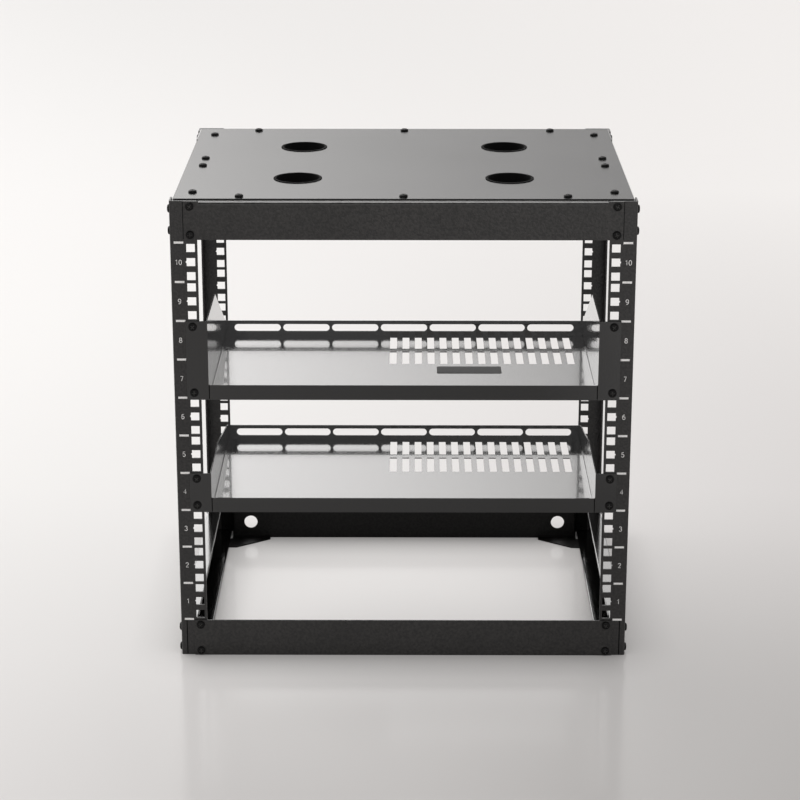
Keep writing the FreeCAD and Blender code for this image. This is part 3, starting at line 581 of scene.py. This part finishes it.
def screw_profile(length):
    """Half the outline of a pan-head screw, from the tip up, with the underside of its head at zero."""
    core = SHANK_RADIUS - THREAD_DEPTH
    profile = [(0, -length), (core, -length)]
    level = -length
    while level + THREAD_PITCH < 0:
        profile += [(SHANK_RADIUS, level + THREAD_PITCH / 2), (core, level + THREAD_PITCH)]
        level += THREAD_PITCH
    profile += [(core, 0), (HEAD_RADIUS - HEAD_CHAMFER, 0), (HEAD_RADIUS, HEAD_CHAMFER)]
    for step in range(DOME_STEPS):
        angle = math.pi / 2 * step / DOME_STEPS
        rise = (HEAD_HEIGHT - HEAD_RIM) * math.sin(angle)
        profile.append((HEAD_RADIUS * math.cos(angle) ** DOME_FULLNESS, HEAD_RIM + rise))
    return profile + [(0, HEAD_HEIGHT)]


def screw_shape(length):
    """An upright pan-head screw, with its thread turned and its cross recess cut."""
    solid = bmesh.new()
    lathe(solid, screw_profile(length), TURN_STEPS)
    bmesh.ops.recalc_face_normals(solid, faces=solid.faces)
    body = new_piece("screw_pattern", solid, black_oxide)
    spares = [body]
    half, arm = RECESS_WIDTH / 2, RECESS_LENGTH / 2
    bottom, top = HEAD_HEIGHT - RECESS_DEPTH, HEAD_HEIGHT + RECESS_DEPTH
    for wide, deep in ((arm, half), (half, arm)):
        slot = bmesh.new()
        add_box(slot, (-wide, -deep, bottom), (wide, deep, top))
        cutter = new_piece("recess_pattern", slot, recess_highlight_oxide)
        spares.append(cutter)
        cut = body.modifiers.new("recess", "BOOLEAN")
        cut.operation = "DIFFERENCE"
        cut.solver = "EXACT"
        cut.material_mode = "TRANSFER"
        cut.object = cutter
    bpy.context.view_layer.update()
    shape = bpy.data.meshes.new_from_object(body.evaluated_get(bpy.context.evaluated_depsgraph_get()))
    for spare in spares:
        bpy.data.objects.remove(spare)
    return shape


for node, facing in SCREW_NODES.items():
    cluster = bmesh.new()
    for number, (low, high) in enumerate(islands(node)):
        seat = (low + high) / 2
        beside = "left" if seat.x < 0 else "right"
        axis, outward, turn = SCREW_SIDES[beside if facing == "side" else facing]
        crown = high[axis] if outward > 0 else low[axis]
        seat[axis] = crown - outward * HEAD_HEIGHT
        shape = screw_shape(high[axis] - low[axis] - HEAD_HEIGHT)
        driven = Matrix.Rotation(DRIVEN_TURN * number, 4, "Z")
        shape.transform(Matrix.Translation(seat) @ turn @ driven)
        cluster.from_mesh(shape)
        bpy.data.meshes.remove(shape)
    turned = new_piece(node.replace("_screws", "_screw_set"), cluster, black_oxide, recess_highlight_oxide)
    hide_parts(node)
    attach(turned, "root")


# Nuts behind the tray ears: square zinc-plated nuts, each held in a square hole of the post by a cage
# of spring steel.
NUT_NODES = ("upper_shelf_nuts", "lower_shelf_nuts", "upper_shelf_cages", "lower_shelf_cages")
ZINC = (0.52, 0.51, 0.48)
zinc = coated("zinc_plate", ZINC, roughness=0.34, spread=0.25, grain=1400)
zinc.node_tree.nodes["Principled BSDF"].inputs["Metallic"].default_value = 1.0
for name in NUT_NODES:
    finish_node(name, zinc)


# Stage: a pale, polished studio floor that runs on behind the rack. Its tone falls off towards the viewer
# and to the right as painted light falloff. A pool of painted light lifts it below the rack, where the
# rack's shadow falls, and painted contact shade darkens it close to the rack's parts. Out of sight at the
# front right a patch of it is painted pale, as painted light that lights up the right post.
FLOOR_REACH = 14.0
# Rows of tones across the floor that fall off towards the viewer and, near the rack, to the right:
# painted light falloff.
FLOOR_FRONT = ((0.73, 0.71, 0.7), (0.455, 0.44, 0.43), 0.5)
FLOOR_MIDDLE = ((0.86, 0.845, 0.83), (0.73, 0.705, 0.696), 0.6)
FLOOR_FAR = ((0.9, 0.885, 0.872), (0.97, 0.944, 0.928), 1.0)
FRONT_TO_MIDDLE = (-0.55, 0.35)
MIDDLE_TO_FAR = (0.35, 2.2)
# Painted light: a pale patch of floor out of sight at the front right, which lights up the right post in
# its reflection.
PAINTED_REFLECTOR_TONE = (0.97, 0.95, 0.94)
REFLECTOR_PATCH_SIDE = (0.2, 0.4)
REFLECTOR_PATCH_FRONT = (-0.62, -0.95)
FLOOR_GLOW = 0.93
GLOW_SHARE = 0.55
# Painted light: a pool of extra glow below the rack, where the rack's shadow falls.
PAINTED_POOL_CENTRE = (0.0, -0.22, 0.0)
PAINTED_POOL_REACH = (0.34, 0.52, 1.0)
PAINTED_POOL_EDGE = (0.4, 1.0)
PAINTED_POOL_GLOW = 1.12
# Painted contact shade: the floor's glow is darkened within this reach of the rack's parts.
PAINTED_CONTACT_SHADE_REACH = 0.07


def floor_material():
    """A polished floor in rows of tones with painted light falloff, part of whose paleness doesn't depend
    on the light: that part holds a painted pool of light below the rack and painted contact shade.
    """
    material, tree, shader = new_material("studio_floor")
    link = tree.links.new
    shader.inputs["Roughness"].default_value = 0.15
    shader.inputs["IOR"].default_value = 1.25
    place = add_node(tree, "ShaderNodeTexCoord").outputs["Object"]
    axes = add_node(tree, "ShaderNodeSeparateXYZ")
    link(place, axes.inputs["Vector"])

    def along(axis, start, end):
        """How far a point of the floor is on its way from a start to an end."""
        return add_ramp(tree, axes.outputs[axis], (start, end))

    def blend(first, second, share):
        """A mix of two tones, which are colours or sockets."""
        node = add_node(tree, "ShaderNodeMix", data_type="RGBA")
        for name, tone in (("A", first), ("B", second)):
            if isinstance(tone, bpy.types.NodeSocket):
                link(tone, node.inputs[name])
            else:
                node.inputs[name].default_value = (*tone, 1)
        link(share, node.inputs["Factor"])
        return node.outputs["Result"]

    def row(left, right, reach):
        """The tones of the floor from left to right at one depth."""
        return blend(left, right, along("X", -reach, reach))

    tone = blend(row(*FLOOR_FRONT), row(*FLOOR_MIDDLE), along("Y", *FRONT_TO_MIDDLE))
    tone = blend(tone, row(*FLOOR_FAR), along("Y", *MIDDLE_TO_FAR))
    # Painted light: the pale patch at the front right.
    on_painted_reflector = add_math(tree, "MULTIPLY", along("X", *REFLECTOR_PATCH_SIDE), along("Y", *REFLECTOR_PATCH_FRONT))
    tone = blend(tone, PAINTED_REFLECTOR_TONE, on_painted_reflector)
    link(tone, shader.inputs["Base Color"])

    painted_pool = add_node(tree, "ShaderNodeMapping", vector_type="TEXTURE")
    painted_pool.inputs["Location"].default_value = PAINTED_POOL_CENTRE
    painted_pool.inputs["Scale"].default_value = PAINTED_POOL_REACH
    link(place, painted_pool.inputs["Vector"])
    away = add_node(tree, "ShaderNodeVectorMath", operation="LENGTH")
    link(painted_pool.outputs["Vector"], away.inputs[0])
    glow = add_ramp(tree, away.outputs["Value"], PAINTED_POOL_EDGE, (PAINTED_POOL_GLOW, FLOOR_GLOW), "SMOOTHSTEP")
    # Painted contact shade on the glowing part of the floor.
    painted_contact_shade = add_node(tree, "ShaderNodeAmbientOcclusion", samples=8, Distance=PAINTED_CONTACT_SHADE_REACH)
    pale = add_node(tree, "ShaderNodeEmission")
    link(tone, pale.inputs["Color"])
    link(add_math(tree, "MULTIPLY", glow, painted_contact_shade.outputs["AO"]), pale.inputs["Strength"])

    path = add_node(tree, "ShaderNodeLightPath")
    seen = add_math(tree, "MAXIMUM", path.outputs["Is Camera Ray"], path.outputs["Is Glossy Ray"])
    both = add_node(tree, "ShaderNodeMixShader")
    link(add_math(tree, "MULTIPLY", seen, GLOW_SHARE), both.inputs["Fac"])
    link(shader.outputs["BSDF"], both.inputs[1])
    link(pale.outputs["Emission"], both.inputs[2])
    link(both.outputs["Shader"], tree.nodes["Material Output"].inputs["Surface"])
    return material


ground = bmesh.new()
bmesh.ops.create_grid(ground, x_segments=1, y_segments=1, size=FLOOR_REACH)
floor = new_piece("studio_floor", ground, floor_material())


# Studio light: a pale room with a dark ceiling, a broad soft window high up at the far left, and a soft
# box behind the viewer that fills in the front.
BACK_WALL = 0.67
FRONT_WALL = 0.6
WALL_TURN = (-0.5, 0.6)
CEILING_SHADE = 0.1
CEILING_RISE = (0.55, 0.85)
WINDOW_FROM = (-0.3536, 0.6124, 0.7071)
WINDOW_EDGE = (0.715, 0.93)
WINDOW_GLOW = 3.75
WINDOW_MOST = 2.4
BACKDROP = 0.9
LIGHT_TINT = (1.0, 0.985, 0.975)
BOX_PLACE = (0.3, -3.4, 1.2)
BOX_AIM = (0, 0, 0.28)
BOX_WIDTH = 2.4
BOX_HEIGHT = 1.0
BOX_POWER = 12


def studio_room():
    """The room's light by direction, behind which the viewer sees a plain backdrop."""
    room = bpy.data.worlds.new("studio")
    room.use_nodes = True
    tree = room.node_tree
    link = tree.links.new
    direction = add_node(tree, "ShaderNodeTexCoord").outputs["Generated"]
    axes = add_node(tree, "ShaderNodeSeparateXYZ")
    link(direction, axes.inputs["Vector"])
    walls = add_ramp(tree, axes.outputs["Y"], WALL_TURN, (FRONT_WALL, BACK_WALL), "SMOOTHSTEP")
    ceiling = add_ramp(tree, axes.outputs["Z"], CEILING_RISE, (1.0, CEILING_SHADE), "SMOOTHSTEP")
    nearness = add_node(tree, "ShaderNodeVectorMath", operation="DOT_PRODUCT")
    nearness.inputs[1].default_value = WINDOW_FROM
    link(direction, nearness.inputs[0])
    window = add_ramp(tree, nearness.outputs["Value"], WINDOW_EDGE, (0.0, WINDOW_GLOW), "SMOOTHSTEP")
    window = add_math(tree, "MINIMUM", window, WINDOW_MOST)
    path = add_node(tree, "ShaderNodeLightPath")
    strength = add_node(tree, "ShaderNodeMix", data_type="FLOAT")
    strength.inputs["B"].default_value = BACKDROP
    link(add_math(tree, "ADD", add_math(tree, "MULTIPLY", walls, ceiling), window), strength.inputs["A"])
    link(path.outputs["Is Camera Ray"], strength.inputs["Factor"])
    background = tree.nodes["Background"]
    background.inputs["Color"].default_value = (*LIGHT_TINT, 1)
    link(strength.outputs["Result"], background.inputs["Strength"])
    return room


bpy.context.scene.world = studio_room()
lamp = bpy.data.lights.new("front_box", "AREA")
lamp.shape = "RECTANGLE"
lamp.size = BOX_WIDTH
lamp.size_y = BOX_HEIGHT
lamp.energy = BOX_POWER
front_box = bpy.data.objects.new("front_box", lamp)
front_box.location = BOX_PLACE
front_box.rotation_euler = (Vector(BOX_AIM) - Vector(BOX_PLACE)).to_track_quat("-Z", "Y").to_euler()
bpy.context.scene.collection.objects.link(front_box)


# Camera at the photograph's height and distance, looking slightly down on the rack. Its focal length is
# in pixels of the photograph's frame.
FOCAL_PIXELS = 2392
FRAME_PIXELS = 800
SENSOR = 36.0
CAMERA_PLACE = (0.0083, -2.7373, 1.1235)
CAMERA_PITCH = 17.81
CAMERA_YAW = 0.27
camera = bpy.data.cameras.new("camera")
camera.sensor_width = SENSOR
camera.lens = FOCAL_PIXELS / FRAME_PIXELS * SENSOR
viewer = bpy.data.objects.new("camera", camera)
viewer.location = CAMERA_PLACE
viewer.rotation_euler = (math.radians(90 - CAMERA_PITCH), 0, math.radians(CAMERA_YAW))
bpy.context.scene.collection.objects.link(viewer)
bpy.context.scene.camera = viewer
bpy.context.scene.view_settings.view_transform = "Standard"
